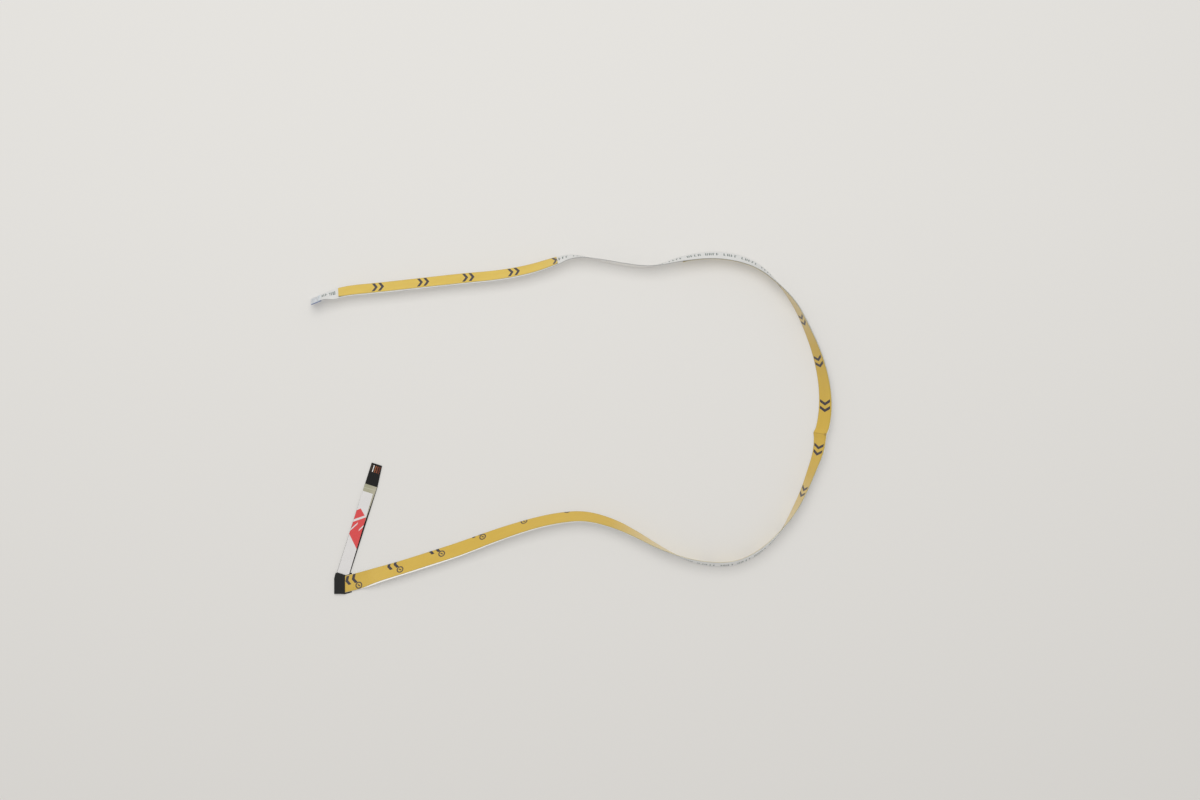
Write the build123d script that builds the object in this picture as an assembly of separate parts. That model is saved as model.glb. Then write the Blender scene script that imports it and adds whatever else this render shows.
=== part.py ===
"""Laptop camera cable: a flat flexible cable soldered to a short flexible circuit, in millimetres.

The cable stands on one long edge, its foot, and leans one way or the other along its route. Where it
meets the short circuit it lies flat, and a black tape is folded round the solder joints. The origin is on
the flat underside of that tape, +X runs towards the loop of the cable and +Z is up.
"""

from build123d import *
import math
import os

# The flat cable: flat copper conductors between two films
conductor_count = 10
conductor_pitch = 0.5
conductor_width = 0.3
conductor_thickness = 0.05
film_thickness = 0.07
bond_line = 0.01
film_rim = 0.2
cable_width = (conductor_count + 1) * conductor_pitch

# The board end: bare conductors on a stiffener
contact_length = 2.7
stiffener_length = 3.6
stiffener_thickness = 0.2

# Stick-on tape and its paper liner, on two stretches of the cable
tape_thickness = 0.09
liner_thickness = 0.08
liner_foot_margin = 0.05
first_head_margin = 0.35
second_head_margin = 0.45
first_liner_start = 9.3
first_liner_length = 74
second_liner_length = 277.5

# The short flexible circuit, its contacts and the tape on it
pad_count = 5
copper_thickness = 0.035
base_thickness = 0.1
coverlay_thickness = 0.05
tail_length = 38.3
tail_heading = 72.4
tail_overlap = 1.81
tail_side_gap = 0.635
tip_length = 7.3
tip_stiffener_thickness = 0.2
contact_pitch = 0.7
contact_width = 0.45
contact_run = 2.3
contact_end_margin = 0.6
contact_side_margin = 0.1
tip_side_margin = 0.1
tip_shoulder = 0.7
tip_width = pad_count * contact_pitch + tip_side_margin
tail_width = tip_width + tip_shoulder
trace_width = 0.09
trace_pitch = 0.2
trace_entry = 3
plating_thickness = 0.015
tail_liner_width = 3.6
tail_liner_side_margin = 0.08
tail_tape_bare = 2.5
tail_tape_skew = 0.3
cable_side_clearance = 0.2

# The solder joints, where the films are stripped back from the end of the conductors
back_film_strip = 0.75
front_film_strip = 1.5
film_end_clearance = 0.1
foot_margin = 0.3
foot_pad_width = 0.8
foot_pad_margin = 0.1
joint_window_margin = 0.03
solder_length = 0.55
solder_end_gap = 0.1
solder_rise = 0.04

# The black tape folded round the joints
wrap_thickness = 0.2
wrap_fold_gap = 0.24
wrap_top_edge_x = 1.8
wrap_bottom_edge_x = 4.0
wrap_upper_y = 3.4
wrap_corner_run = 0.5
wrap_corner_drop = 1.9
wrap_side_margin = 0.15
wrap_level_edge = 1.0
wrap_clearance = 0.01

# Heights where the cable lies flat: tape, circuit, copper, then the conductors
tail_height = wrap_thickness
copper_height = tail_height + base_thickness
pad_top = copper_height + copper_thickness
flat_height = pad_top + conductor_thickness / 2

# The route of the cable's foot from the board end to the solder joints: x, y, height of its middle plane,
# and lean in degrees, 0 upright, positive towards the inside of the loop, -90 flat
route = [
    (-9.6, 94.7, 0.15, 24),
    (-7.93, 95.38, 0.15, 24),
    (-5.06, 96.54, 0.15, 24),
    (-2.6, 97.75, 0.1, 42),
    (0.8, 98.85, 0.1, 43),
    (5, 99.3, 0.1, 46),
    (13, 99.9, 0.1, 50),
    (25.5, 101.4, 0.1, 52),
    (40.5, 103.1, 0.1, 54),
    (53, 104.1, 0.1, 47),
    (63, 105.9, 0.1, 44),
    (71.3, 108.4, 0.1, 38),
    (76.2, 109.5, 0.05, 22),
    (81, 109, 0.05, 8),
    (87, 107.3, 0.05, -2),
    (95, 105.6, 0.05, -5),
    (101.5, 104.9, 0.05, -3),
    (107, 106.3, 0.05, 8),
    (114, 109, 0.15, 21),
    (124, 110.6, 0.15, 28),
    (133, 109.5, 0.15, 28),
    (140.7, 106, 0.1, 21),
    (146.8, 99.2, 0.05, 5),
    (151.2, 92.8, 0.05, -8),
    (154.4, 86, 0.05, -17),
    (157.7, 77, 0.05, -27),
    (159.7, 67.5, 0.1, -37),
    (160, 59.5, 0.1, -44),
    (159.2, 53.2, 0.1, -46),
    (157.8, 49.4, 0.1, -43),
    (158.1, 44.5, 0.1, -32),
    (156.2, 38, 0.1, -26),
    (153.9, 31, 0.05, -19),
    (150.6, 23.8, 0.05, -9),
    (147.4, 17.3, 0.05, 9),
    (141, 10.2, 0.1, 17),
    (133, 5.9, 0.1, 19),
    (125, 5.3, 0.1, 18),
    (116.3, 7, 0.1, 12),
    (107, 11.9, 0.05, -7),
    (99, 17.1, 0.05, -18),
    (91.5, 21.2, 0.05, -27),
    (82, 24, 0.1, -33),
    (73, 23.4, 0.1, -36),
    (64, 21.8, 0.1, -39),
    (52, 18.2, 0.1, -46),
    (40, 13.8, 0.1, -54),
    (28.8, 10, 0.1, -55),
    (19, 6.9, 0.1, -55),
    (11.5, 4.9, 0.1, -62),
    (6, 3.5, flat_height, -90),
    (2.5, 2.66, flat_height, -90),
    (-0.5, 1.96, flat_height, -90),
]

# Largest turn between two stations in degrees, what a degree of twist counts for, and strips in a wide face
bend_step = 17
twist_weight = 2
strips = 2


def mix(first, second, share):
    return first * (1 - share) + second * share


def heading_at(index):
    """Plan direction of the route at one of its points."""
    before = route[max(index - 1, 0)]
    after = route[min(index + 1, len(route) - 1)]
    return Vector(after[0] - before[0], after[1] - before[1], 0).normalized()


def raised_direction(index):
    """Direction from the foot to the raised edge at one of the route's points."""
    lean = math.radians(route[index][3])
    heading = heading_at(index)
    inward = Vector(heading.Y, -heading.X, 0)
    return inward * math.sin(lean) + Vector(0, 0, 1) * math.cos(lean)


foot_points = [Vector(x, y, z) for x, y, z, lean in route]
head_points = [foot + raised_direction(i) * cable_width for i, foot in enumerate(foot_points)]
span_count = len(route) - 2
knots = [0, 0] + list(range(span_count + 1)) + [span_count, span_count]


def curve_point(points, span, share):
    """Point and direction of the quadratic spline that has these control points."""
    place = span + share
    first_share = (place - knots[span + 1]) / (knots[span + 3] - knots[span + 1])
    second_share = (place - knots[span + 2]) / (knots[span + 4] - knots[span + 2])
    first = mix(points[span], points[span + 1], first_share)
    second = mix(points[span + 1], points[span + 2], second_share)
    return mix(first, second, share), (second - first).normalized()


def make_station(span, share):
    """Foot of the cable, direction up its width and direction out of its printed face."""
    foot, along = curve_point(foot_points, span, share)
    head, _ = curve_point(head_points, span, share)
    raised = (head - foot).normalized()
    return foot, raised, raised.cross(along).normalized()


def span_shares(span):
    """Places in one span where the cable has a station, the more the further it turns and twists there."""
    turn = heading_at(span).get_angle(heading_at(span + 2))
    twist = abs(route[span + 2][3] - route[span][3]) / 2
    steps = math.ceil(math.hypot(turn, twist_weight * twist) / bend_step) or 1
    return [step / steps for step in range(steps)]


stations = [make_station(span, share) for span in range(span_count) for share in span_shares(span)]
stations.append(make_station(span_count - 1, 1))
lengths = [0.0]
for before, after in zip(stations, stations[1:]):
    lengths.append(lengths[-1] + (after[0] - before[0]).length)
cable_length = lengths[-1]


def station_at(length):
    """Station at a length along the foot, in line between the two beside it."""
    after = next(i for i, value in enumerate(lengths) if value >= length and i > 0)
    share = (length - lengths[after - 1]) / (lengths[after] - lengths[after - 1])
    return tuple(mix(a, b, share) for a, b in zip(stations[after - 1], stations[after]))


def stretch(start, end):
    """Stations from one length along the cable to another."""
    inner = [station for station, length in zip(stations, lengths) if start < length < end]
    return [station_at(start)] + inner + [station_at(end)]


def ply(start, end, outline):
    """Solid that follows the cable, its outline given as places up the width and off the middle plane."""
    wires = [
        Wire.make_polygon([foot + raised * up + outward * off for up, off in outline])
        for foot, raised, outward in stretch(start, end)
    ]
    return Solid.make_loft(wires, ruled=True)


def layer(start, end, low, high, inner, outer):
    """Wide ply of one rectangle, its faces in strips so that their mesh follows the twist."""
    ups = [mix(low, high, strip / strips) for strip in range(strips + 1)]
    return ply(start, end, [(up, inner) for up in ups] + [(up, outer) for up in reversed(ups)])


# Places off the middle plane, from the conductors out to the liners
conductor_half = conductor_thickness / 2
film_inner = conductor_half + bond_line
film_outer = film_inner + film_thickness
tape_inner = film_outer + bond_line
tape_outer = tape_inner + tape_thickness
liner_inner = tape_outer + bond_line
liner_outer = liner_inner + liner_thickness
printed_side = 1
back_side = -1


def make_conductor(number):
    middle = number * conductor_pitch
    half = conductor_width / 2
    low, high = middle - half, middle + half
    outline = [(low, -conductor_half), (high, -conductor_half), (high, conductor_half), (low, conductor_half)]
    return ply(0, cable_length, outline)


def make_printed_film():
    """Film of the outer face, stripped back at the contacts and at the solder joints."""
    return layer(contact_length, cable_length - front_film_strip, 0, cable_width, film_inner, film_outer)


def make_back_film():
    """Film of the inner face, with the rims that close the cable's two long edges."""
    outline = [(cable_width * strip / strips, -film_outer) for strip in range(strips + 1)]
    outline += [
        (cable_width, conductor_half),
        (cable_width - film_rim, conductor_half),
        (cable_width - film_rim, -film_inner),
        (cable_width / 2, -film_inner),
        (film_rim, -film_inner),
        (film_rim, conductor_half),
        (0, conductor_half),
    ]
    return ply(0, cable_length - back_film_strip, outline)


def make_board_stiffener():
    return layer(0, stiffener_length, 0, cable_width, -tape_inner, -tape_inner - stiffener_thickness)


def make_stick_on(start, end, side, head_margin):
    """Tape and its paper liner on one side of the cable."""
    low = liner_foot_margin
    high = cable_width - head_margin
    tape = layer(start, end, low, high, side * tape_inner, side * tape_outer)
    liner = layer(start, end, low, high, side * liner_inner, side * liner_outer)
    return tape, liner


# Plan frame of the cable where it lies flat, from the end of its conductors
flat_end = Vector(route[-1][0], route[-1][1])
flat_along = heading_at(len(route) - 1)
flat_across = Vector(-flat_along.Y, flat_along.X)


def joint_point(past_end, across):
    """Plan point by its distance past the conductors' end and its distance from the cable's foot."""
    return flat_end + flat_along * past_end + flat_across * across


# Plan frame of the short circuit, from the middle of its end beside the cable
tail_start = joint_point(-tail_overlap, -tail_side_gap)
tail_along = Vector(math.cos(math.radians(tail_heading)), math.sin(math.radians(tail_heading)))
tail_right = Vector(tail_along.Y, -tail_along.X)
tip_left = -tail_width / 2
tip_right = tip_left + tip_width
contact_middle = (tip_left + tip_right) / 2
contact_near = tail_length - contact_end_margin - contact_run
contact_far = tail_length - contact_end_margin


def tail_point(along, right):
    """Plan point by its distance along the short circuit and to the right of its middle."""
    return tail_start + tail_along * along + tail_right * right


def slab(points, bottom, thickness):
    """Flat plate of a plan outline."""
    face = make_face(Polyline([(p.X, p.Y) for p in points], close=True))
    return extrude(Pos(0, 0, bottom) * face, thickness, dir=(0, 0, 1))


def tail_rectangle(near, far, left, right):
    return [tail_point(near, left), tail_point(near, right), tail_point(far, right), tail_point(far, left)]


def joint_rectangle(near, far, low, high):
    return [joint_point(near, low), joint_point(far, low), joint_point(far, high), joint_point(near, high)]


foot_reach = front_film_strip - film_end_clearance
foot_end = cable_width - foot_margin
lanes_end = trace_pitch * pad_count


def tail_outline():
    """The strip with its narrower tip, stopped beside the cable, and the foot under the conductors."""
    to_cable = tail_point(0, tail_width / 2) - flat_end
    stop = (-cable_side_clearance - to_cable.dot(flat_across)) / tail_along.dot(flat_across)
    return [
        tail_point(tail_length, tip_left),
        tail_point(tail_length, tip_right),
        tail_point(tail_length - tip_length, tail_width / 2),
        tail_point(stop, tail_width / 2),
        joint_point(-foot_reach, -cable_side_clearance),
        joint_point(-foot_reach, foot_end),
        joint_point(lanes_end, foot_end),
        joint_point(lanes_end, foot_margin),
        tail_point(0, tip_left),
    ]


def make_tail_base():
    return slab(tail_outline(), tail_height, base_thickness)


def make_tip_stiffener():
    corners = [
        tail_point(tail_length - tip_length, tip_left),
        tail_point(tail_length - tip_length, tail_width / 2),
        tail_point(tail_length, tip_right),
        tail_point(tail_length, tip_left),
    ]
    return slab(corners, tail_height - tip_stiffener_thickness, tip_stiffener_thickness)


def make_coverlay():
    """Black cover film over the copper, open at the contacts and at the solder joints."""
    half = (pad_count - 1) / 2 * contact_pitch + contact_width / 2 + contact_side_margin
    windows = [
        tail_rectangle(contact_near, contact_far, contact_middle - half, contact_middle + half),
        joint_rectangle(-front_film_strip, joint_window_margin, -foot_margin, cable_width),
    ]
    cover = slab(tail_outline(), pad_top, coverlay_thickness)
    for window in windows:
        cover -= slab(window, copper_height, 2 * (copper_thickness + coverlay_thickness))
    return cover


def pad_across(number):
    """Middle of the two conductors that one pad takes."""
    return (2 * number - 0.5) * conductor_pitch


def make_trace(number):
    """Copper of one circuit: its solder pad, the trace in its lane past the other pads, and its contact."""
    across = pad_across(number)
    lane = trace_pitch * (number - 0.5)
    offset = contact_middle + ((pad_count + 1) / 2 - number) * contact_pitch
    path = [
        joint_point(-solder_end_gap, across),
        joint_point(lane, across),
        joint_point(lane, foot_margin),
        tail_point(trace_entry, offset),
        tail_point(mix(contact_near, contact_far, 0.5), offset),
    ]
    line = Polyline([(p.X, p.Y) for p in path])
    copper = extrude(Pos(0, 0, copper_height) * trace(line, trace_width), copper_thickness, dir=(0, 0, 1))
    pad_half = foot_pad_width / 2
    contact_half = contact_width / 2
    pad = joint_rectangle(foot_pad_margin - foot_reach, 0, across - pad_half, across + pad_half)
    contact = tail_rectangle(contact_near, contact_far, offset - contact_half, offset + contact_half)
    copper += slab(pad, copper_height, copper_thickness)
    return copper + slab(contact, copper_height, copper_thickness + plating_thickness)


def make_solder(number, conductors):
    """Solder of one pad, flowed round its two conductors."""
    middle = pad_across(number)
    half = foot_pad_width / 2
    outline = joint_rectangle(-solder_end_gap - solder_length, -solder_end_gap, middle - half, middle + half)
    bead = slab(outline, pad_top, conductor_thickness + solder_rise)
    for conductor in conductors[2 * number - 2 : 2 * number]:
        bead -= conductor
    return bead


def skewed_rectangle(far, left, right):
    """Outline from the circuit's end at the cable, where the tape was put on a little further right."""
    return [
        tail_point(0, left + tail_tape_skew),
        tail_point(0, right + tail_tape_skew),
        tail_point(far, right),
        tail_point(far, left),
    ]


def make_tail_stick_on():
    """Tape on the short circuit up to its tip, and the paper liner that leaves the tape's end bare."""
    left = tip_left + tail_liner_side_margin
    right = left + tail_liner_width
    tape_length = tail_length - tip_length
    bottom = pad_top + coverlay_thickness
    cable_space = joint_rectangle(-tail_width, 0, -cable_side_clearance, cable_width)
    corner = slab(cable_space, bottom, tape_thickness + liner_thickness)
    tape = slab(skewed_rectangle(tape_length, left, right), bottom, tape_thickness)
    liner_outline = skewed_rectangle(tape_length - tail_tape_bare, left, right)
    return tape - corner, slab(liner_outline, bottom + tape_thickness, liner_thickness) - corner


def make_wrap():
    """Black tape folded once round the joints: a long leg below and a short leg above."""
    leg_gap = flat_height + liner_outer + wrap_clearance - wrap_thickness
    height = leg_gap + 2 * wrap_thickness
    radius = height / 2
    fold_x = joint_point(lanes_end, foot_margin).X - wrap_fold_gap - wrap_thickness
    leg_length = wrap_bottom_edge_x - fold_x - radius
    corner = (Align.MIN, Align.CENTER)
    outer = Circle(radius) + Rectangle(leg_length, height, align=corner)
    inner = Circle(leg_gap / 2) + Rectangle(leg_length, leg_gap, align=corner)
    lower_y = joint_point(0, cable_width).Y - wrap_side_margin
    profile = Plane.XZ.offset(-lower_y) * Pos(fold_x + radius, radius) * (outer - inner)
    tape = extrude(profile, wrap_upper_y - lower_y, dir=(0, 1, 0))
    top_bottom = wrap_thickness + leg_gap - wrap_clearance
    top_height = wrap_thickness + 2 * wrap_clearance
    edge_across = cable_width + 2 * wrap_side_margin
    edge_past = (wrap_bottom_edge_x - flat_end.X - flat_across.X * edge_across) / flat_along.X
    outline = [
        Vector(fold_x, lower_y),
        Vector(joint_point(0, cable_width).X + wrap_level_edge, lower_y),
        joint_point(edge_past, edge_across),
        Vector(wrap_bottom_edge_x, wrap_upper_y),
        Vector(fold_x + wrap_corner_run, wrap_upper_y),
        Vector(fold_x, wrap_upper_y - wrap_corner_drop),
    ]
    beyond_edge = [
        Vector(wrap_top_edge_x, lower_y),
        Vector(wrap_bottom_edge_x, lower_y),
        Vector(wrap_bottom_edge_x, wrap_upper_y),
        Vector(wrap_top_edge_x, wrap_upper_y),
    ]
    over_liner = tail_rectangle(0, tail_width, -tail_width, tail_width)
    tape &= slab(outline, 0, height)
    tape -= slab(beyond_edge, top_bottom, top_height)
    return tape - slab(over_liner, top_bottom, top_height)


def make_parts():
    conductors = [make_conductor(number) for number in range(1, conductor_count + 1)]
    first_end = first_liner_start + first_liner_length
    second_end = cable_length - back_film_strip
    upper_tape, upper_liner = make_stick_on(
        first_liner_start, first_end, printed_side, first_head_margin
    )
    lower_tape, lower_liner = make_stick_on(
        second_end - second_liner_length, second_end, back_side, second_head_margin
    )
    tail_tape, tail_liner = make_tail_stick_on()
    parts = {
        "printed_film": make_printed_film(),
        "back_film": make_back_film(),
        "board_end_stiffener": make_board_stiffener(),
        "upper_tape": upper_tape,
        "upper_liner": upper_liner,
        "lower_tape": lower_tape,
        "lower_liner": lower_liner,
        "tail_base": make_tail_base(),
        "tail_coverlay": make_coverlay(),
        "tail_stiffener": make_tip_stiffener(),
        "tail_tape": tail_tape,
        "tail_liner": tail_liner,
        "joint_wrap": make_wrap(),
    }
    for number, conductor in enumerate(conductors, 1):
        parts[f"conductor_{number:02d}"] = conductor
    for number in range(1, pad_count + 1):
        parts[f"tail_trace_{number}"] = make_trace(number)
        parts[f"solder_joint_{number}"] = make_solder(number, conductors)
    return parts


def bend_radii():
    """Bending radius of the cable's foot at each station between two others."""
    feet = [station[0] for station in stations]
    radii = []
    for before, here, after in zip(feet, feet[1:], feet[2:]):
        turn = math.radians((here - before).get_angle(after - here))
        radii.append((after - before).length / 2 / max(turn, 0.001))
    return radii


os.makedirs("parts", exist_ok=True)
finished = make_parts()
for name, shape in finished.items():
    export_step(shape, f"parts/{name}.step")
section = conductor_width * conductor_thickness
print("cable length", round(cable_length, 1), "smallest radius", round(min(bend_radii()), 1))
print("conductor volume over section", round(finished["conductor_01"].volume / section, 1))
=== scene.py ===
# %% [markdown]
# # A laptop camera cable
# The object is a flat flexible cable, 5.5 mm wide and 0.41 m long, that ends in a short black flexible
# circuit. It is made here in Blender round the frame that the CAD model gives. Every piece is cut flat
# first, as it is in the factory, and then laid along the line that the cable follows on the table.

# %% Load the frame
import bisect
import math

import bmesh
import bpy
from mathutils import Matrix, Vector, noise


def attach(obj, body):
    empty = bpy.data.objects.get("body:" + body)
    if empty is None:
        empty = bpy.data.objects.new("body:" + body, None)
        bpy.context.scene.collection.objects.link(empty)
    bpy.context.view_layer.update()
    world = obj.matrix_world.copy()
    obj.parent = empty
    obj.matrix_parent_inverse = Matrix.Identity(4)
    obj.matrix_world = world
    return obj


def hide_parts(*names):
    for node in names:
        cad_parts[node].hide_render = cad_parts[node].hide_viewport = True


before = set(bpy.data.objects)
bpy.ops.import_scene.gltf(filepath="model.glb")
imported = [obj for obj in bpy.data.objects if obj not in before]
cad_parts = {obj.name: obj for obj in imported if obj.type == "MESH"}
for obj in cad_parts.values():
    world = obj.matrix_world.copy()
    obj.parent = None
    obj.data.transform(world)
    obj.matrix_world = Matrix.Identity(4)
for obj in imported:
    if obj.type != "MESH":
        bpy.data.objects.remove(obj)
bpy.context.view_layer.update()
mm = 0.001
print("CAD nodes:", len(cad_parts))

# %% [markdown]
# ## Camera
# The photograph looks straight down. One pixel is a third of a millimetre on the table, so the picture is
# 400 mm wide there. A camera 550 mm up needs a lens of 36 mm x 550 / 400 to see that width.

# %% Camera
camera_height = 550 * mm
picture_width = 400 * mm
picture_middle = (86.7 * mm, 61.0 * mm)

camera = bpy.data.objects.new("camera", bpy.data.cameras.new("camera"))
camera.data.lens = camera.data.sensor_width * camera_height / picture_width
camera.data.clip_start = 0.01
camera.location = (*picture_middle, camera_height)
bpy.context.scene.collection.objects.link(camera)
bpy.context.scene.camera = camera
print("lens", round(camera.data.lens, 1), "mm")

# %% [markdown]
# ## The line of the cable
# A strip that stands on its edge has two edges to follow: the foot on the table and the raised edge. The
# lean tells where the raised edge is: 0 is upright, more than 0 leans into the loop, and -90 lies flat.
# The points were chosen on the photograph, and a NURBS spline turns them into one smooth line.

# %% The points of the foot, in metres, each with the strip's lean in degrees
cable_width = 5.5 * mm
route = [
    (-0.0096, 0.0947, 0.00015, 24),
    (-0.00793, 0.09538, 0.00015, 24),
    (-0.00506, 0.09654, 0.00015, 24),
    (-0.0026, 0.0975, 0.0001, 40),
    (0.0008, 0.0985, 0.0001, 41),
    (0.005, 0.0992, 0.0001, 42),
    (0.013, 0.0999, 0.0001, 42),
    (0.0255, 0.1013, 0.0001, 42),
    (0.0405, 0.103, 0.0001, 43),
    (0.053, 0.104, 0.0001, 41),
    (0.063, 0.1058, 0.0001, 39),
    (0.0713, 0.1083, 0.0001, 34),
    (0.0762, 0.1095, 0.00005, 20),
    (0.081, 0.109, 0.00005, 8),
    (0.087, 0.1073, 0.00005, -2),
    (0.095, 0.1056, 0.00005, -5),
    (0.1015, 0.1049, 0.00005, -3),
    (0.107, 0.1063, 0.00005, 8),
    (0.114, 0.109, 0.00015, 21),
    (0.124, 0.1106, 0.00015, 28),
    (0.133, 0.1095, 0.00015, 28),
    (0.1407, 0.106, 0.0001, 21),
    (0.1468, 0.0992, 0.00005, 5),
    (0.1512, 0.0928, 0.00005, -8),
    (0.1544, 0.086, 0.00005, -12),
    (0.1577, 0.077, 0.00005, -22),
    (0.1597, 0.0675, 0.0001, -34),
    (0.16, 0.0595, 0.0001, -42),
    (0.1592, 0.0532, 0.0001, -45),
    (0.1581, 0.0499, 0.0001, -43),
    (0.1581, 0.0445, 0.0001, -32),
    (0.1562, 0.038, 0.0001, -22),
    (0.1539, 0.031, 0.00005, -15),
    (0.1506, 0.0238, 0.00005, -9),
    (0.1474, 0.0173, 0.00005, 9),
    (0.141, 0.0102, 0.0001, 17),
    (0.133, 0.0059, 0.0001, 19),
    (0.125, 0.0053, 0.0001, 18),
    (0.1163, 0.007, 0.0001, 12),
    (0.107, 0.0119, 0.00005, -7),
    (0.099, 0.0171, 0.00005, -18),
    (0.0915, 0.0212, 0.00005, -27),
    (0.082, 0.024, 0.0001, -33),
    (0.073, 0.0234, 0.0001, -36),
    (0.064, 0.0215, 0.0001, -38),
    (0.052, 0.0179, 0.0001, -44),
    (0.04, 0.0136, 0.0001, -53),
    (0.0288, 0.01, 0.0001, -55),
    (0.019, 0.0069, 0.0001, -55),
    (0.0115, 0.0049, 0.0001, -62),
    (0.006, 0.0035, 0.00036, -90),
    (0.0025, 0.00266, 0.00036, -90),
    (-0.0005, 0.00196, 0.00036, -90),
]


def raised_edge(number):
    """Point of the raised edge over one point of the foot."""
    before, after = route[max(number - 1, 0)], route[min(number + 1, len(route) - 1)]
    heading = Vector((after[0] - before[0], after[1] - before[1], 0)).normalized()
    lean = math.radians(route[number][3])
    up = Vector((heading.y, -heading.x, 0)) * math.sin(lean) + Vector((0, 0, 1)) * math.cos(lean)
    return Vector(route[number][:3]) + up * cable_width


# %% Two NURBS curves, read back as points
def spline_points(name, places):
    """Points along the NURBS curve that has these control points."""
    curve = bpy.data.curves.new(name, "CURVE")
    curve.dimensions = "3D"
    line = curve.splines.new("NURBS")
    line.points.add(len(places) - 1)
    for point, place in zip(line.points, places):
        point.co = (*place, 1)
    line.order_u = 3
    line.use_endpoint_u = True
    line.resolution_u = 12
    holder = bpy.data.objects.new(name, curve)
    mesh = bpy.data.meshes.new_from_object(holder)
    found = [vert.co.copy() for vert in mesh.vertices]
    bpy.data.objects.remove(holder)
    bpy.data.meshes.remove(mesh)
    bpy.data.curves.remove(curve)
    return found


foot_line = spline_points("foot", [Vector(row[:3]) for row in route])
head_line = spline_points("raised edge", [raised_edge(number) for number in range(len(route))])
lengths = [0.0]
for before, after in zip(foot_line, foot_line[1:]):
    lengths.append(lengths[-1] + (after - before).length)
cable_length = lengths[-1]
print("points", len(foot_line), "cable length", round(cable_length / mm, 1), "mm")

# %% [markdown]
# ## From the flat strip to the laid strip
# A flat strip has three measures: how far along the cable, how far up its width, and how far off its middle
# plane. Each station on the line says where those three go in space. So every ply can be cut flat, with
# plain operators, and `lay` then bends it. The flat measures stay with the mesh as an attribute, and the
# printed marks, creases and fibres read that attribute, so they follow the bends.

# %% Stations along the cable
stations = []
for number, (foot, head) in enumerate(zip(foot_line, head_line)):
    ahead = foot_line[min(number + 1, len(foot_line) - 1)] - foot_line[max(number - 1, 0)]
    raised = (head - foot).normalized()
    stations.append((foot, raised, raised.cross(ahead).normalized()))


def station(length):
    """Foot, direction up the width and direction out of the printed face."""
    after = min(max(bisect.bisect_right(lengths, length), 1), len(lengths) - 1)
    share = (length - lengths[after - 1]) / (lengths[after] - lengths[after - 1])
    return [a.lerp(b, share) for a, b in zip(stations[after - 1], stations[after])]


# %% [markdown]
# The cable was once folded sharply on the right of the loop and opened again. The fold is still there, as
# a small ridge right across all the plies. It is highest at the foot, where it shows as a corner. Since it
# is part of `lay`, films, wires, tape and paper all get it in the same place.

# %% The kink, and the mapping of every ply
kink_place = Vector((158.0, 50.0, 0)) * mm
kink_height, kink_reach, kink_left_at_head = 0.55 * mm, 1.4 * mm, 0.4
kink_length = lengths[min(range(len(foot_line)), key=lambda n: (foot_line[n] - kink_place).length)]


def lay(flat):
    """Place in space of a point of the flat strip."""
    foot, raised, outward = station(flat.x)
    ridge = max(0, 1 - abs(flat.x - kink_length) / kink_reach)
    ridge *= 1 - (1 - kink_left_at_head) * flat.y / cable_width
    return foot + raised * flat.y + outward * (flat.z - kink_height * ridge)


print("kink at", round(kink_length / mm, 1), "mm")

# %% [markdown]
# The short circuit and the tape round the joint lie flat on the table. Their flat measures start at the
# circuit's end beside the cable: along it, to its right, and up from the table.

# %% The short circuit's own frame
tail_start = Vector((1.12 * mm, 2.99 * mm, 0))
tail_heading = math.radians(72.4)
tail_along = Vector((math.cos(tail_heading), math.sin(tail_heading), 0))
tail_right = Vector((tail_along.y, -tail_along.x, 0))


def lay_tail(flat):
    """Place in space of a point of the flat short circuit."""
    return tail_start + tail_along * flat.x + tail_right * flat.y + Vector((0, 0, flat.z))


# %% [markdown]
# ## Finishes
# Shader maths reads best as Python. `Signal` wraps one output socket, and an expression such as
# `1 - mask * 0.5` adds the Math nodes for it. `Finish` holds one material and has a single method for every
# other kind of node.


# %% A socket that takes plus, minus and times
class Signal:
    def __init__(self, finish, socket):
        self.finish, self.socket = finish, socket

    def math(self, operation, *values, clamp=False):
        settings = {"operation": operation, "use_clamp": clamp}
        return self.finish.node("ShaderNodeMath", settings, dict(enumerate(values)))

    def __add__(self, other):
        return self.math("ADD", self, other)

    def __sub__(self, other):
        return self.math("SUBTRACT", self, other)

    def __rsub__(self, other):
        return self.math("SUBTRACT", other, self)

    def __mul__(self, other):
        return self.math("MULTIPLY", self, other)

    def __truediv__(self, other):
        return self.math("DIVIDE", self, other)

    def __abs__(self):
        return self.math("ABSOLUTE", self)

    __radd__, __rmul__ = __add__, __mul__

    def floor(self):
        return self.math("FLOOR", self)

    def root(self):
        return self.math("SQRT", self)

    def wrap(self, reach):
        """The value brought back between minus and plus this reach."""
        return self.math("WRAP", self, reach, -reach)

    def above(self, level, soft):
        """0 up to the level, then rising to 1 over soft."""
        return self.math("DIVIDE", self - level, soft, clamp=True)

    def within(self, middle, half, soft):
        """1 where this value is within half of the middle, fading to 0 over soft."""
        return self.math("DIVIDE", half + soft - abs(self - middle), soft, clamp=True)

    def both(self, other):
        return self.math("MINIMUM", self, other)

    def either(self, other):
        return self.math("MAXIMUM", self, other)


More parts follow.
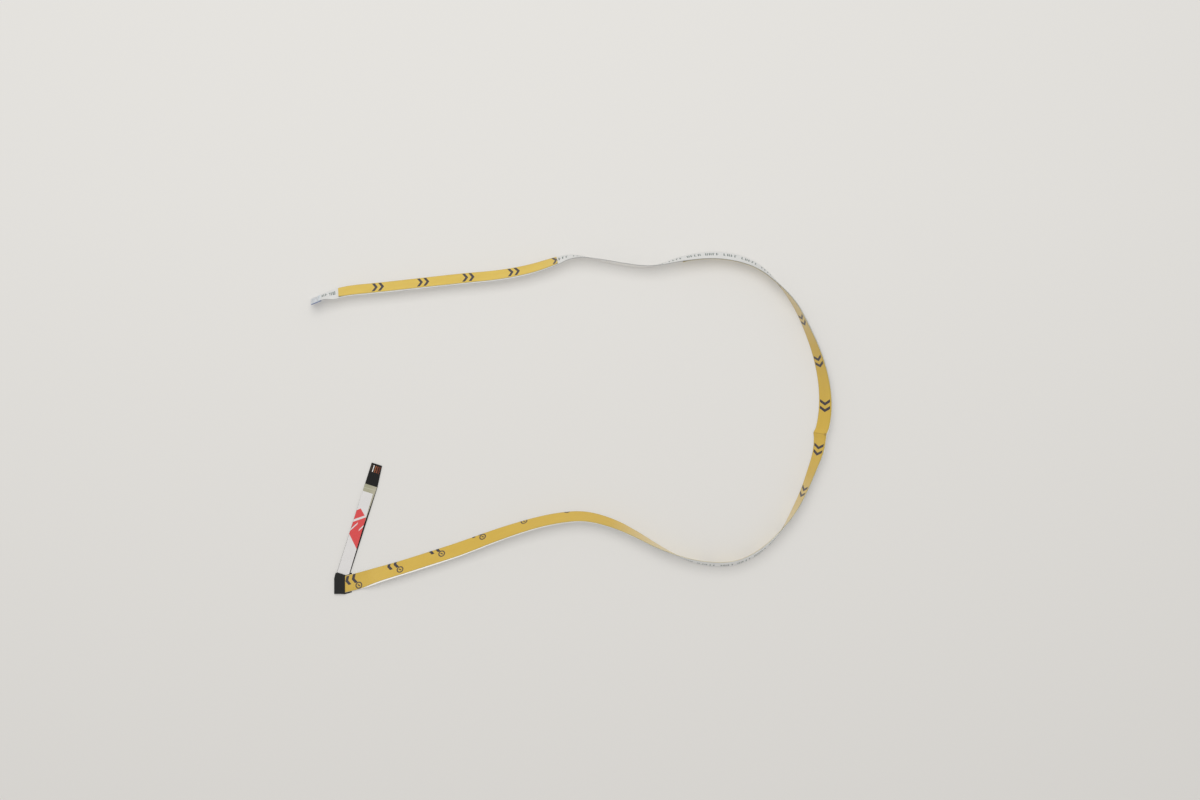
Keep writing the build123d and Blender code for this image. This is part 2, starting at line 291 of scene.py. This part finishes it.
# %% A material with one method for all its nodes
class Finish:
    def __init__(self, name, color, roughness, **plain):
        self.material = bpy.data.materials.new(name)
        self.material.use_nodes = True
        self.tree = self.material.node_tree
        self.shader = self.tree.nodes["Principled BSDF"]
        self.set(Base_Color=(*color, 1), Roughness=roughness, **plain)

    def set(self, **values):
        for name, value in values.items():
            self.put(self.shader.inputs[name.replace("_", " ")], value)

    def put(self, socket, value):
        if isinstance(value, Signal):
            self.tree.links.new(value.socket, socket)
        else:
            socket.default_value = value

    def node(self, kind, settings, inputs, output=0):
        made = self.tree.nodes.new(kind)
        for name, value in settings.items():
            setattr(made, name, value)
        for name, value in inputs.items():
            self.put(made.inputs[name], value)
        return Signal(self, made.outputs[output])

    def parts(self, vector):
        """The three numbers of a vector."""
        made = self.tree.nodes.new("ShaderNodeSeparateXYZ")
        self.put(made.inputs[0], vector)
        return [Signal(self, socket) for socket in made.outputs]

    def in_mm(self, places):
        settings = {"operation": "SCALE"}
        return self.node("ShaderNodeVectorMath", settings, {0: places, "Scale": 1000})

    def flat(self):
        """The flat measures that each laid piece carries, in millimetres."""
        return self.in_mm(self.node("ShaderNodeAttribute", {"attribute_name": "flat"}, {}, 1))

    def here(self):
        """Object coordinates in millimetres."""
        return self.in_mm(self.node("ShaderNodeTexCoord", {}, {}, 3))

    def on_tail(self):
        """Millimetres along the short circuit and to its left, for the CAD plates that stay."""
        inputs = {"Vector": self.node("ShaderNodeTexCoord", {}, {}, 3)}
        inputs.update({"Location": tail_start, "Rotation": (0, 0, tail_heading)})
        return self.in_mm(self.node("ShaderNodeMapping", {"vector_type": "TEXTURE"}, inputs))

    def stretched(self, vector, scale):
        return self.node("ShaderNodeMapping", {"vector_type": "POINT"}, {"Vector": vector, "Scale": scale})

    def noise(self, vector, size, detail=2.0):
        """Noise whose spots are about this many millimetres wide."""
        inputs = {"Vector": vector, "Scale": 1 / size, "Detail": detail}
        return self.node("ShaderNodeTexNoise", {}, inputs)

    def chance(self, number):
        """A number from 0 to 1 that is the same wherever this whole number is the same."""
        return self.node("ShaderNodeTexWhiteNoise", {"noise_dimensions": "1D"}, {"W": number})

    def mix(self, mask, low, high):
        """Colour that goes from low to high where the mask goes from 0 to 1."""
        sides = [value if isinstance(value, Signal) else (*value, 1) for value in (low, high)]
        return self.node("ShaderNodeMix", {"data_type": "RGBA"}, {0: mask, 6: sides[0], 7: sides[1]}, 2)

    def bump(self, height, depth):
        """Normal from a height of 0 to 1 that stands for a depth in millimetres."""
        return self.node("ShaderNodeBump", {}, {"Height": height, "Distance": depth * mm})


# %% [markdown]
# The stick-on tape is covered by a release paper until it is used. That paper has a clear coat, a soft
# shine and faint streaks along its length. Seen nearly edge-on it goes pale: the coat gives a part of that,
# and a painted reflection, a lighter tone on the two runs that stand upright, gives the rest. Its long
# edges are painted darker as painted shade, and the kink is a dark line of painted shade with a dark spot
# at the raised edge.
#
# The bold navy marks repeat every 15 mm. The paper is cut from a wide printed roll and not quite straight,
# so on the second stretch the marks drift to the foot and a small ring comes into view beside them. All
# marks are shapes worked out from the flat measures, which keeps them sharp at any size.

# %% Navy marks of the release paper: their places along the cable, in millimetres
navy = (0.018, 0.013, 0.028)
first_mark, first_pitch, first_marks_from = 23.2, 15.1, 14
second_mark, second_pitch = 205.6, 14.6
ring_place, ring_pitch, rings_from = 402.7, 14.65, 290
ring_up, ring_drift = 4.15, 0.064


def chevrons(along, up, half_height, stroke):
    """Two bold chevrons round the point where both measures are 0."""
    bent = along + abs(up) * 0.5
    gap = stroke * 2.3
    strokes = bent.within(0.5 - gap, stroke, 0.05).either(bent.within(0.5 + gap, stroke, 0.05))
    return strokes.both(up.within(0, half_height, 0.05))


def ring_mark(along, up):
    """A ring, 2.3 mm across, with a short bar in it."""
    ring = (along * along + up * up).root().within(0.97, 0.19, 0.05)
    bar = (along + up).within(0, 0.28, 0.05).both((along - up).within(0, 0.65, 0.05))
    return ring.either(bar)


def first_art(along, up):
    """Marks over nearly the full width of the first stretch."""
    marks = chevrons((along - first_mark).wrap(first_pitch / 2), up - 2.4, 2.1, stroke=0.46)
    return marks.both(along.above(first_marks_from, 0.1))


def second_art(along, up):
    """Marks over the full width, and later on smaller ones that drift to the foot, with a ring."""
    later = along.above(rings_from, 0.1)
    wide = chevrons((along - second_mark).wrap(second_pitch / 2), up - 2.65, 2.2, stroke=0.46)
    wide = wide * (1 - later)
    drift = up - (along - ring_place) * ring_drift - ring_up
    place = (along - ring_place).wrap(ring_pitch / 2)
    narrow = chevrons(place - 1.95, drift + 2.55, 1.45, stroke=0.48)
    narrow = narrow.either(ring_mark(place, drift) * 0.88)
    return wide.either(narrow * later)


# %% Yellow release paper
ochre_light, ochre_deep, shaded_ochre_edge = (0.65, 0.44, 0.055), (0.58, 0.365, 0.037), (0.50, 0.345, 0.035)
pale_ochre, painted_glare_ochre = (0.80, 0.61, 0.10), (0.78, 0.71, 0.50)
crease_shade_color = (0.36, 0.22, 0.03)
kink_mm = kink_length / mm
# The two upright runs, which get a painted reflection: middle, half length and fade, in millimetres
after_bare_stretch, bottom_of_loop = (140, 20, 26), (271, 21, 22)


def yellow_paper(name, art, paleness):
    """Ochre paper with navy marks and a streaky shine. More paleness gives it more pale clouds."""
    paper = Finish(name, ochre_light, 0.45, Coat_Weight=0.6, Coat_Roughness=0.25)
    flat = paper.flat()
    along, up, _ = paper.parts(flat)
    cloud = paper.noise(paper.stretched(flat, (0.3, 1, 1)), 2.2, 3)
    streak = paper.noise(paper.stretched(flat, (0.05, 1, 1)), 0.3, 2)
    color = paper.mix(cloud * 0.6 + streak * 0.4, ochre_deep, ochre_light)
    color = paper.mix(cloud * 0.4 + paleness, color, pale_ochre)
    # Painted shade: the paper is painted darker towards its long edges.
    color = paper.mix(abs(up - 2.6).above(2.0, 0.6) * 0.55, color, shaded_ochre_edge)
    # Painted reflection: a paler tone on the two upright runs stands for the glare they catch edge-on.
    upright = along.within(*after_bare_stretch).either(along.within(*bottom_of_loop))
    color = paper.mix(upright * 0.6, color, painted_glare_ochre)
    # Painted shade: a dark line across the paper at the kink, which also dents the bump, and a dark spot of
    # painted shade where the kink meets the raised edge.
    crease_with_shade = along.within(kink_mm, 0.05, 0.16)
    color = paper.mix(crease_with_shade * 0.6, color, crease_shade_color)
    painted_notch_shade = along.within(kink_mm, 0.25, 0.3).both(up.above(4.3, 0.4))
    color = paper.mix(painted_notch_shade, color, crease_shade_color)
    ink = art(along, up) * (0.92 + streak * 0.12)
    fibre = paper.noise(paper.stretched(flat, (0.35, 1, 1)), 0.2, 3)
    relief = fibre * 0.5 + streak * 0.5 - crease_with_shade
    paper.set(Base_Color=paper.mix(ink, color, navy), Roughness=0.38 + cloud * 0.16)
    paper.set(Normal=paper.bump(relief, 0.015))
    return paper.material


first_paper = yellow_paper("release paper, first stretch", first_art, 0.1)
second_paper = yellow_paper("release paper, second stretch", second_art, -0.25)

# %% [markdown]
# The cable's two films are white and satin, and the flat wires between them show as faint ridges. The
# outer film has a row of small grey-green print along its middle. It stands for the usual type line, and
# is made of short strokes that say nothing, in groups of four. Near the board end the film looks blue,
# because the blue stiffener shows through it, and the cut edges are darker, most of all along the bare
# stretch. The back, and the front along the lower half of the loop, stand in the shade, and there a
# lighter tone is painted on as painted light, so that they still look white.

# %% White film
film_deep, film_light = (0.66, 0.66, 0.645), (0.70, 0.70, 0.685)
film_painted_light_front, film_painted_light_back = (0.88, 0.88, 0.86), (0.92, 0.90, 0.86)
print_green, cut_edge_grey, over_blue = (0.08, 0.12, 0.11), (0.16, 0.16, 0.14), (0.56, 0.64, 0.71)
letter_pitch, word_pitch, one_word_at = 1.25, 5.2, 108.6
film = Finish("white film", film_deep, 0.3, Coat_Weight=0.1)
film_places = film.flat()
film_along, film_up, film_off = film.parts(film_places)
letter = film_along / letter_pitch
cell = letter.floor()
inside = letter - cell
first_chance, second_chance = film.chance(cell), film.chance(cell + 500)
bar_up = 1.15 + (second_chance * 2.99).floor() * 0.85
strokes = inside.within(0.25, 0.13, 0.04)
strokes = strokes.either(inside.within(0.72, 0.1, 0.04).both(first_chance.above(0.5, 0.01)))
strokes = strokes.either((film_up - bar_up).within(0, 0.1, 0.04).both(inside.within(0.5, 0.25, 0.04)))
word = (cell - one_word_at).wrap(word_pitch / 2).within(0, 2.1, 0.1)
film_print = strokes.both(film_up.within(2.0, 0.95, 0.05)).both(word).both(film_off.above(0.09, 0.005))
film_tone = film.noise(film_places, 3.0)
film_color = film.mix(film_tone, film_deep, film_light)
# Painted light: the front along the lower half of the loop, and the back, are painted lighter where they
# stand in shade.
film_color = film.mix(film_along.above(215, 30) * 0.9, film_color, film_painted_light_front)
film_color = film.mix(1 - film_off.above(-0.09, 0.02), film_color, film_painted_light_back)
film_color = film.mix((1 - film_along.above(2.9, 0.8)) * 0.8, film_color, over_blue)
# The cut edges are darker, and darker still along the bare stretch.
cut_edge = abs(film_up - 2.75).above(2.7, 0.03)
bare_stretch = film_along.within(122, 40, 8)
film_color = film.mix(cut_edge * (0.25 + bare_stretch * 0.25), film_color, cut_edge_grey)
ridge = film_up.math("PINGPONG", film_up, 0.25).within(0.25, 0.11, 0.06)
ridge = ridge.both(film_up.within(2.75, 2.3, 0.1))
film.set(
    Base_Color=film.mix(film_print * 0.95, film_color, print_green),
    Roughness=0.26 + film_tone * 0.1,
    Normal=film.bump(ridge * 0.8 + film_tone * 0.4, 0.014),
)
white_film = film.material

# %% Bare flat wires, the blue stiffener and the tape's tissue
tin = Finish("tinned copper", (0.75, 0.77, 0.80), 0.3, Metallic=1.0)
rubbed = tin.noise(tin.stretched(tin.flat(), (0.3, 1, 1)), 0.12, 3)
tin.set(
    Base_Color=tin.mix(rubbed, (0.74, 0.76, 0.79), (0.92, 0.93, 0.95)),
    Roughness=0.25 + rubbed * 0.25,
    Normal=tin.bump(rubbed, 0.004),
)
blue = Finish("blue stiffener", (0.03, 0.07, 0.26), 0.35, Coat_Weight=0.3)
blue_cloud = blue.noise(blue.flat(), 0.8)
blue.set(Base_Color=blue.mix(blue_cloud, (0.026, 0.06, 0.22), (0.04, 0.09, 0.30)))
blue.set(Roughness=0.3 + blue_cloud * 0.15)


def tissue_finish(name, places):
    """Greyish tissue in glue: the felted fibres give it a blotchy tone."""
    tissue = Finish(name, (0.37, 0.355, 0.24), 0.5)
    where = places(tissue)
    fibre = tissue.noise(tissue.stretched(where, (0.5, 1, 1)), 0.25, 4)
    color = tissue.mix(fibre, (0.31, 0.295, 0.19), (0.43, 0.415, 0.29))
    return tissue, where, fibre, color


tissue, _, tissue_fibre, tissue_color = tissue_finish("tissue tape", Finish.flat)
tissue.set(Base_Color=tissue_color, Normal=tissue.bump(tissue_fibre, 0.02))

# %% [markdown]
# ## Finishes of the short circuit
# Its tape is bare for 2.5 mm below the tip. The paper's end was there before, and left a faint line. The
# paper is white with generic red blocks, cut apart by slanted gaps.

# %% Bare tape below the tip
bare_name = "tissue tape of the short circuit"
bare_tape, bare_where, bare_fibre, bare_color = tissue_finish(bare_name, Finish.on_tail)
bare_along, bare_left, _ = bare_tape.parts(bare_where)
old_edge = bare_along + bare_left * 0.04
bare_color = bare_tape.mix(old_edge.above(29.85, 0.1) * 0.35, bare_color, (0.30, 0.30, 0.20))
bare_color = bare_tape.mix(old_edge.within(29.8, 0.04, 0.08) * 0.7, bare_color, (0.55, 0.54, 0.42))
lighter_side = (0 - bare_left).above(-0.3, 1.6)
bare_color = bare_tape.mix(lighter_side * 0.5, bare_color, (0.47, 0.43, 0.33))
bare_tape.set(Base_Color=bare_color, Normal=bare_tape.bump(bare_fibre, 0.02))

# %% White paper with red blocks
white_paper = Finish("white release paper", (0.70, 0.67, 0.645), 0.5)
paper_where = white_paper.flat()
paper_along, paper_right, _ = white_paper.parts(paper_where)
blocks = (paper_along + paper_right * 1.05).above(11.2, 0.08)
blocks = blocks.both(1 - (paper_along + paper_right * 0.92).above(21.7, 0.08))
blocks = blocks.both(1 - (paper_along - paper_right * 0.88).above(23.5, 0.08))
long_gap = (paper_along - paper_right * 0.75).within(19.65, 0.4, 0.08)
steep = paper_along - paper_right * 1.7
left_slit = steep.within(18.45, 0.3, 0.1).both(paper_right.within(-1.4, 0.9, 0.1))
right_slit = steep.within(14.55, 0.3, 0.1).both(paper_right.within(1.5, 0.85, 0.1))
blocks = blocks.both(1 - long_gap.either(left_slit).either(right_slit))
grain = white_paper.noise(paper_where, 0.3, 3)
paper_cloud = white_paper.noise(paper_where, 2.5, 2)
paper_color = white_paper.mix(paper_cloud, (0.67, 0.65, 0.635), (0.72, 0.70, 0.685))
white_paper.set(
    Base_Color=white_paper.mix(blocks * (0.93 + grain * 0.1), paper_color, (0.66, 0.04, 0.04)),
    Roughness=0.42 + paper_cloud * 0.15,
    Normal=white_paper.bump(grain * 0.5 + paper_cloud, 0.02),
)

# %% [markdown]
# The black cover film is satin, and each copper trace below it makes a faint ridge. The five contacts are
# worn unevenly: the one on the left is dull and dark, the next is bright, and the others look like copper.

# %% Black films
def black_finish(name, color, ridges):
    """Satin black film with fine dust marks, and with ridges over the traces where it has them."""
    black = Finish(name, color, 0.35, Specular_IOR_Level=0.2)
    where = black.on_tail()
    _, left, _ = black.parts(where)
    dust = black.noise(black.stretched(where, (0.3, 1, 1)), 0.5, 4)
    height = dust * 0.3
    if ridges:
        height = height + left.math("PINGPONG", left + 6.65, 0.35).within(0, 0.05, 0.08)
    darker = [value * 0.7 for value in color]
    black.set(Base_Color=black.mix(dust, darker, [value * 1.4 for value in color]))
    black.set(Roughness=0.35 + dust * 0.2, Normal=black.bump(height, 0.02))
    return black.material


cover_black = black_finish("black cover film", (0.006, 0.0055, 0.005), True)
base_black = black_finish("black circuit film", (0.010, 0.009, 0.008), False)

# %% Contacts, solder and the cloth of the joint tape
contact_tones = {
    1: ((0.06, 0.025, 0.02), (0.16, 0.055, 0.035), 0.14),
    2: ((0.09, 0.03, 0.02), (0.30, 0.10, 0.055), 0.1),
    3: ((0.10, 0.035, 0.02), (0.36, 0.13, 0.06), 0.1),
    4: ((0.10, 0.075, 0.06), (0.98, 0.96, 0.92), 0.085),
    5: ((0.03, 0.025, 0.02), (0.08, 0.06, 0.05), 0.1),
}
contacts = {}
for number, (dull, worn, half) in contact_tones.items():
    contact = Finish(f"contact {number}", dull, 0.4, Metallic=1.0)
    where = contact.on_tail()
    _, left, _ = contact.parts(where)
    patchy = contact.noise(contact.stretched(where, (0.5, 1, 1)), 0.3, 3)
    wear = left.within(0.35 - (3 - number) * 0.7, half, 0.07) * patchy.above(0.35, 0.12)
    contact.set(Base_Color=contact.mix(wear, dull, worn), Roughness=0.45 - wear * 0.2)
    contacts[number] = contact.material

solder = Finish("solder", (0.55, 0.55, 0.56), 0.35, Metallic=1.0)
solder_grain = solder.noise(solder.here(), 0.15, 3)
solder.set(Roughness=0.3 + solder_grain * 0.3, Normal=solder.bump(solder_grain, 0.02))

cloth = Finish("black cloth tape", (0.009, 0.009, 0.008), 0.6, Specular_IOR_Level=0.3)
cloth_where = cloth.here()
cloth_x, cloth_y, _ = cloth.parts(cloth_where)
over = cloth_x.math("PINGPONG", cloth_x, 0.11) / 0.11
under = cloth_y.math("PINGPONG", cloth_y, 0.11) / 0.11
lint = cloth.noise(cloth_where, 0.35, 4)
cloth.set(
    Base_Color=cloth.mix(lint, (0.006, 0.006, 0.0055), (0.014, 0.014, 0.012)),
    Roughness=0.5 + lint * 0.25,
    Normal=cloth.bump(over.either(under) + lint * 0.5, 0.03),
)
print("materials", len(bpy.data.materials))

# %% [markdown]
# ## The plies of the cable
# Every ply starts as a cube that is stretched to the flat strip. Its long edges are rounded off a little
# and cut into short runs, and then it is laid.


# %% A flat strip, and the last steps of every piece
def flat_strip(start, end, low, high, inner, outer, edge=0.02, step=0.5):
    """Flat strip in millimetres, cut across at every step."""
    bm = bmesh.new()
    bmesh.ops.create_cube(bm, size=1)
    size = Vector((end - start, high - low, abs(outer - inner)))
    middle = Vector((start + end, low + high, inner + outer)) / 2
    bmesh.ops.scale(bm, vec=size * mm, verts=bm.verts)
    bmesh.ops.translate(bm, vec=middle * mm, verts=bm.verts)
    round_off = {"segments": 1, "profile": 0.5, "material": -1, "affect": "EDGES"}
    bmesh.ops.bevel(bm, geom=bm.edges, offset=edge * mm, **round_off)
    long_edges = [e for e in bm.edges if abs(e.verts[0].co.x - e.verts[1].co.x) > size.x * mm / 2]
    bmesh.ops.subdivide_edges(bm, edges=long_edges, cuts=round(size.x / step), use_grid_fill=True)
    return bm


def keep(name, bm, place, slot, material, *stands_for):
    """Keeps the flat measures, lays the mesh and hands the piece to the frame."""
    flat = bm.verts.layers.float_vector.new("flat")
    for vert in bm.verts:
        vert[flat] = vert.co
        vert.co = place(vert.co)
    bmesh.ops.recalc_face_normals(bm, faces=bm.faces)
    mesh = bpy.data.meshes.new(name)
    bm.to_mesh(mesh)
    bm.free()
    mesh.shade_smooth()
    mesh.set_sharp_from_angle(angle=math.radians(35))
    mesh.materials.append(material)
    piece = bpy.data.objects.new(name, mesh)
    bpy.context.scene.collection.objects.link(piece)
    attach(piece, "root")
    if stands_for:
        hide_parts(*stands_for)
    return piece


# %% Where the plies lie off the middle plane, in millimetres
length_mm = cable_length / mm
width_mm = cable_width / mm
wire_half = 0.025
film_in, film_out = 0.035, 0.105
tape_in, tape_out = 0.115, 0.205
liner_in, liner_out = 0.215, 0.295
contact_length, stiffener_length, stiffener_thickness = 2.7, 3.6, 0.2

# %% The two films and the ten flat wires
back_film = keep(
    "cable_back_film",
    flat_strip(0, length_mm - 0.75, 0, width_mm, -film_out, -film_in),
    lay,
    "white_film",
    white_film,
    "back_film",
)
printed_film = keep(
    "cable_printed_film",
    flat_strip(contact_length, length_mm - 1.5, 0, width_mm, film_in, film_out),
    lay,
    "white_film",
    white_film,
    "printed_film",
)
for number in range(1, 11):
    middle = number * 0.5
    strip = flat_strip(0, length_mm, middle - 0.15, middle + 0.15, -wire_half, wire_half, edge=0.01)
    name, node = f"flat_wire_{number:02d}", f"conductor_{number:02d}"
    keep(name, strip, lay, "tinned_copper", tin.material, node)

# %% The stiffener at the board end
board_stiffener = keep(
    "board_stiffener",
    flat_strip(0, stiffener_length, 0, width_mm, -tape_in - stiffener_thickness, -tape_in),
    lay,
    "stiffener_blue",
    blue.material,
    "board_end_stiffener",
)

# %% [markdown]
# ## The two stretches of tape
# Tape and paper were put on by hand from a roll, so their edge wanders by a tenth or two and the paper's
# ends come up a little where a thumbnail has been.

# %% The wandering edge and the lifted ends
foot_margin = 0.05


def trim(bm, wander):
    """Moves the raised edge of a flat strip by what `wander` gives at each length, in millimetres."""
    for vert in bm.verts:
        if vert.co.y > cable_width / 2:
            vert.co.y += wander(vert.co.x / mm) * mm
    return bm


def lift(bm, end, reach, height):
    """Raises one end of a flat strip, most at its raised edge, by a height in millimetres."""
    for vert in bm.verts:
        share = max(0, 1 - abs(vert.co.x / mm - end) / reach)
        vert.co.z += height * mm * share**2 * vert.co.y / cable_width
    return bm


def first_edge(length):
    return 0.03 * math.sin(length / 6) + 0.02 * math.sin(length / 2.3)


def second_edge(length):
    wide = 0.35 * min(max((375 - length) / 60, 0), 1) + 0.3 * min(max((length - 399) / 4, 0), 1)
    return wide + 0.03 * math.sin(length / 7) + 0.02 * math.sin(length / 2.9)


# %% Tape and release paper
first_start, first_end, first_high = 9.7, 83.3, width_mm - 0.5
second_start, second_end, second_high = length_mm - 283, length_mm - 0.75, width_mm - 0.45
first_tape = keep(
    "first_stick_on",
    trim(flat_strip(first_start, first_end, foot_margin, first_high, tape_in, tape_out), first_edge),
    lay,
    "tape_tissue",
    tissue.material,
    "upper_tape",
)
second_tape = keep(
    "second_stick_on",
    trim(flat_strip(second_start, second_end, foot_margin, second_high, -tape_out, -tape_in), second_edge),
    lay,
    "tape_tissue",
    tissue.material,
    "lower_tape",
)
paper = flat_strip(first_start, first_end, foot_margin, first_high, liner_in, liner_out)
paper = lift(lift(trim(paper, first_edge), first_start, 3, 0.35), first_end, 2, 0.2)
first_release = keep("first_release_paper", paper, lay, "liner_yellow", first_paper, "upper_liner")
paper = flat_strip(second_start, second_end, foot_margin, second_high, -liner_out, -liner_in)
paper = lift(trim(paper, second_edge), second_start, 3, -0.3)
second_release = keep("second_release_paper", paper, lay, "liner_yellow", second_paper, "lower_liner")

# %% [markdown]
# ## The short circuit
# Its plates are flat in the CAD model as they are in the real thing, so they stay and get finishes, and a
# small bevel so that their edges catch the light. The CAD mesh is loose triangles, so a Weld modifier
# comes before the Bevel. Only its tape and paper are made anew: the photo shows them set at a small angle,
# with more of the tape in sight beside the paper near the tip, and paper is never quite flat.

# %% Plates that stay
stays = {"tail_base": base_black, "tail_coverlay": cover_black, "tail_stiffener": base_black}
for number in range(1, 6):
    stays[f"tail_trace_{number}"] = contacts[number]
    stays[f"solder_joint_{number}"] = solder.material
for name, material in stays.items():
    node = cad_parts[name]
    node.data.materials.clear()
    node.data.materials.append(material)
    weld = node.modifiers.new("weld", "WELD")
    weld.merge_threshold = 0.0005 * mm
    bevel = node.modifiers.new("edges", "BEVEL")
    bevel.width = 0.01 * mm
    bevel.segments = 2
    bevel.limit_method = "ANGLE"
print("plates", len(stays))

# %% A ply of the short circuit, cut clear of the cable's end
flat_end, beside_flat_end = Vector(route[-1][:3]), Vector(route[-2][:3])
cable_way = (flat_end - beside_flat_end).normalized()
from_cable = Vector((cable_way.y, -cable_way.x, 0))
clear_of_cable = flat_end + from_cable * 0.2 * mm - tail_start
left_edge, left_slant, plain_right_edge = -2.12, 0.06, 1


def tail_ply(end, low, high, right_edge):
    """Flat ply whose right edge lies where `right_edge` says at each length, in millimetres."""
    ply = flat_strip(0, end, left_edge, plain_right_edge, low, high, edge=0.015)
    for vert in ply.verts:
        along = vert.co.x / mm
        right_shift, left_shift = right_edge(along) - plain_right_edge, left_slant * (1 - along / end)
        vert.co.y += mm * (right_shift if vert.co.y > 0 else left_shift)
    bmesh.ops.bisect_plane(
        ply,
        geom=[*ply.verts, *ply.edges, *ply.faces],
        plane_co=(clear_of_cable.dot(tail_along), clear_of_cable.dot(tail_right), 0),
        plane_no=(-from_cable.dot(tail_along), -from_cable.dot(tail_right), 0),
        clear_outer=True,
    )
    bmesh.ops.holes_fill(ply, edges=[e for e in ply.edges if e.is_boundary], sides=0)
    return ply


def paper_edge(along):
    return 1.95 - 0.0175 * along


def tape_edge(along):
    return paper_edge(along) + 0.65 * max(0, (along - 18) / 13)


# %% Tape and white paper of the short circuit
paper_end = 28.5
keep(
    "short_circuit_stick_on",
    tail_ply(31, 0.385, 0.475, tape_edge),
    lay_tail,
    "tape_tissue",
    bare_tape.material,
    "tail_tape",
)
paper = tail_ply(paper_end, 0.475, 0.555, paper_edge)
for vert in paper.verts:
    run = vert.co.x / (paper_end * mm)
    vert.co.z += 0.03 * mm * (1 + math.sin(run * 9 + vert.co.y * 400)) + 0.25 * mm * max(0, run - 0.93)
keep("short_circuit_paper", paper, lay_tail, "liner_white", white_paper.material, "tail_liner")

# %% [markdown]
# ## The tape round the joint
# The black cloth tape is folded once round the solder joints. Its CAD solid has the right cut, so the
# piece starts as a copy of it: the doubles are merged, the edges rounded, and a grid of cuts lets the
# cloth swell over what is inside it.

# %% Joint tape
wrap = bmesh.new()
wrap.from_mesh(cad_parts["joint_wrap"].data)
bmesh.ops.remove_doubles(wrap, verts=wrap.verts, dist=0.0005 * mm)
bmesh.ops.dissolve_limit(wrap, angle_limit=math.radians(1), verts=wrap.verts, edges=wrap.edges)
corners = [e for e in wrap.edges if e.calc_face_angle(0) > math.radians(40)]
bmesh.ops.bevel(
    wrap,
    geom=corners,
    offset=0.05 * mm,
    segments=2,
    profile=0.5,
    material=-1,
    affect="EDGES",
    clamp_overlap=True,
)
cut_pitch = 0.3
for axis, (start, end) in enumerate(((-1.5, 3.8), (-3.3, 3.2))):
    for step in range(round((end - start) / cut_pitch)):
        place = Vector((0, 0, 0))
        place[axis] = (start + step * cut_pitch) * mm
        across = Vector((axis == 0, axis == 1, 0))
        everything = [*wrap.verts, *wrap.edges, *wrap.faces]
        bmesh.ops.bisect_plane(wrap, geom=everything, plane_co=place, plane_no=across)


def swell(place):
    """The upper leg is uneven over what is below it, and the lower leg comes out past the cable's edge."""
    lump = noise.noise(place / mm * 0.9) * 0.04 * mm
    upper = min(max((place.z / mm - 0.4) / 0.3, 0), 1)
    out = 0.15 * mm * (1 - upper) * min(max(-place.y / mm - 2.2, 0), 1) * min(max(place.x / mm, 0), 1)
    return place + Vector((lump * 0.4, lump * 0.4 - out, lump * upper))


joint_tape = keep("joint_tape", wrap, swell, "wrap_black", cloth.material, "joint_wrap")
print("joint tape faces", len(joint_tape.data.polygons))

# %% [markdown]
# ## The cable's centreline
# The frame wants to know that this is one free cable, how long and wide it is, and where it starts. The
# cable's centreline runs halfway up the strip. It is worked out here from the joint end, and its first
# point is printed.

centreline = [foot + raised * cable_width / 2 for foot, raised, _ in reversed(stations)]
print("first point of the centreline", [round(value / mm, 2) for value in centreline[0]])

# %% [markdown]
# ## Floor and light
# The cable lies on a plain pale surface. Most of the light comes from all round, as in a photographer's
# tent, and a large soft light from above and behind adds a faint shadow. The surface is a little darker
# towards the viewer, and part of its brightness is the surface's own, which keeps the shadows pale.

# %% Floor
floor_finish = Finish("pale surface", (0.735, 0.72, 0.69), 0.7)
_, behind, _ = floor_finish.parts(floor_finish.here())
near_tone, far_tone, own_share = (0.68, 0.655, 0.62), (0.765, 0.745, 0.71), 0.36
# Painted shade: the surface's own glow is painted darker towards the viewer, where the light falls off.
own_color = floor_finish.mix(behind.above(-72, 200), near_tone, far_tone)
own_light = floor_finish.node("ShaderNodeEmission", {}, {"Color": own_color})
ways = [f"Is {way} Ray" for way in ("Camera", "Glossy", "Transmission")]
camera_ray, glossy_ray, glass_ray = [floor_finish.node("ShaderNodeLightPath", {}, {}, way) for way in ways]
seen = camera_ray.either(glossy_ray).either(glass_ray)
lit = Signal(floor_finish, floor_finish.shader.outputs[0])
both_lights = floor_finish.node("ShaderNodeMixShader", {}, {0: seen * own_share, 1: lit, 2: own_light})
floor_finish.put(floor_finish.tree.nodes["Material Output"].inputs["Surface"], both_lights)
floor_mesh = bpy.data.meshes.new("floor")
floor_bm = bmesh.new()
bmesh.ops.create_grid(floor_bm, x_segments=1, y_segments=1, size=3)
floor_bm.to_mesh(floor_mesh)
floor_bm.free()
floor_mesh.materials.append(floor_finish.material)
floor = bpy.data.objects.new("floor", floor_mesh)
bpy.context.scene.collection.objects.link(floor)

# %% Light
world = bpy.context.scene.world or bpy.data.worlds.new("studio")
bpy.context.scene.world = world
world.use_nodes = True
world.node_tree.nodes["Background"].inputs["Color"].default_value = (1, 1, 1, 1)
world.node_tree.nodes["Background"].inputs["Strength"].default_value = 0.54

softbox = bpy.data.lights.new("softbox", "AREA")
softbox.shape = "SQUARE"
softbox.size = 0.6
softbox.energy = 4.2
lamp = bpy.data.objects.new("softbox", softbox)
lamp_offset = Vector((-0.08, 0.37, 0.76))
lamp.location = Vector((*picture_middle, 0)) + lamp_offset
lamp.rotation_euler = lamp_offset.to_track_quat("Z", "Y").to_euler()
bpy.context.scene.collection.objects.link(lamp)

bpy.context.scene.view_settings.view_transform = "Standard"
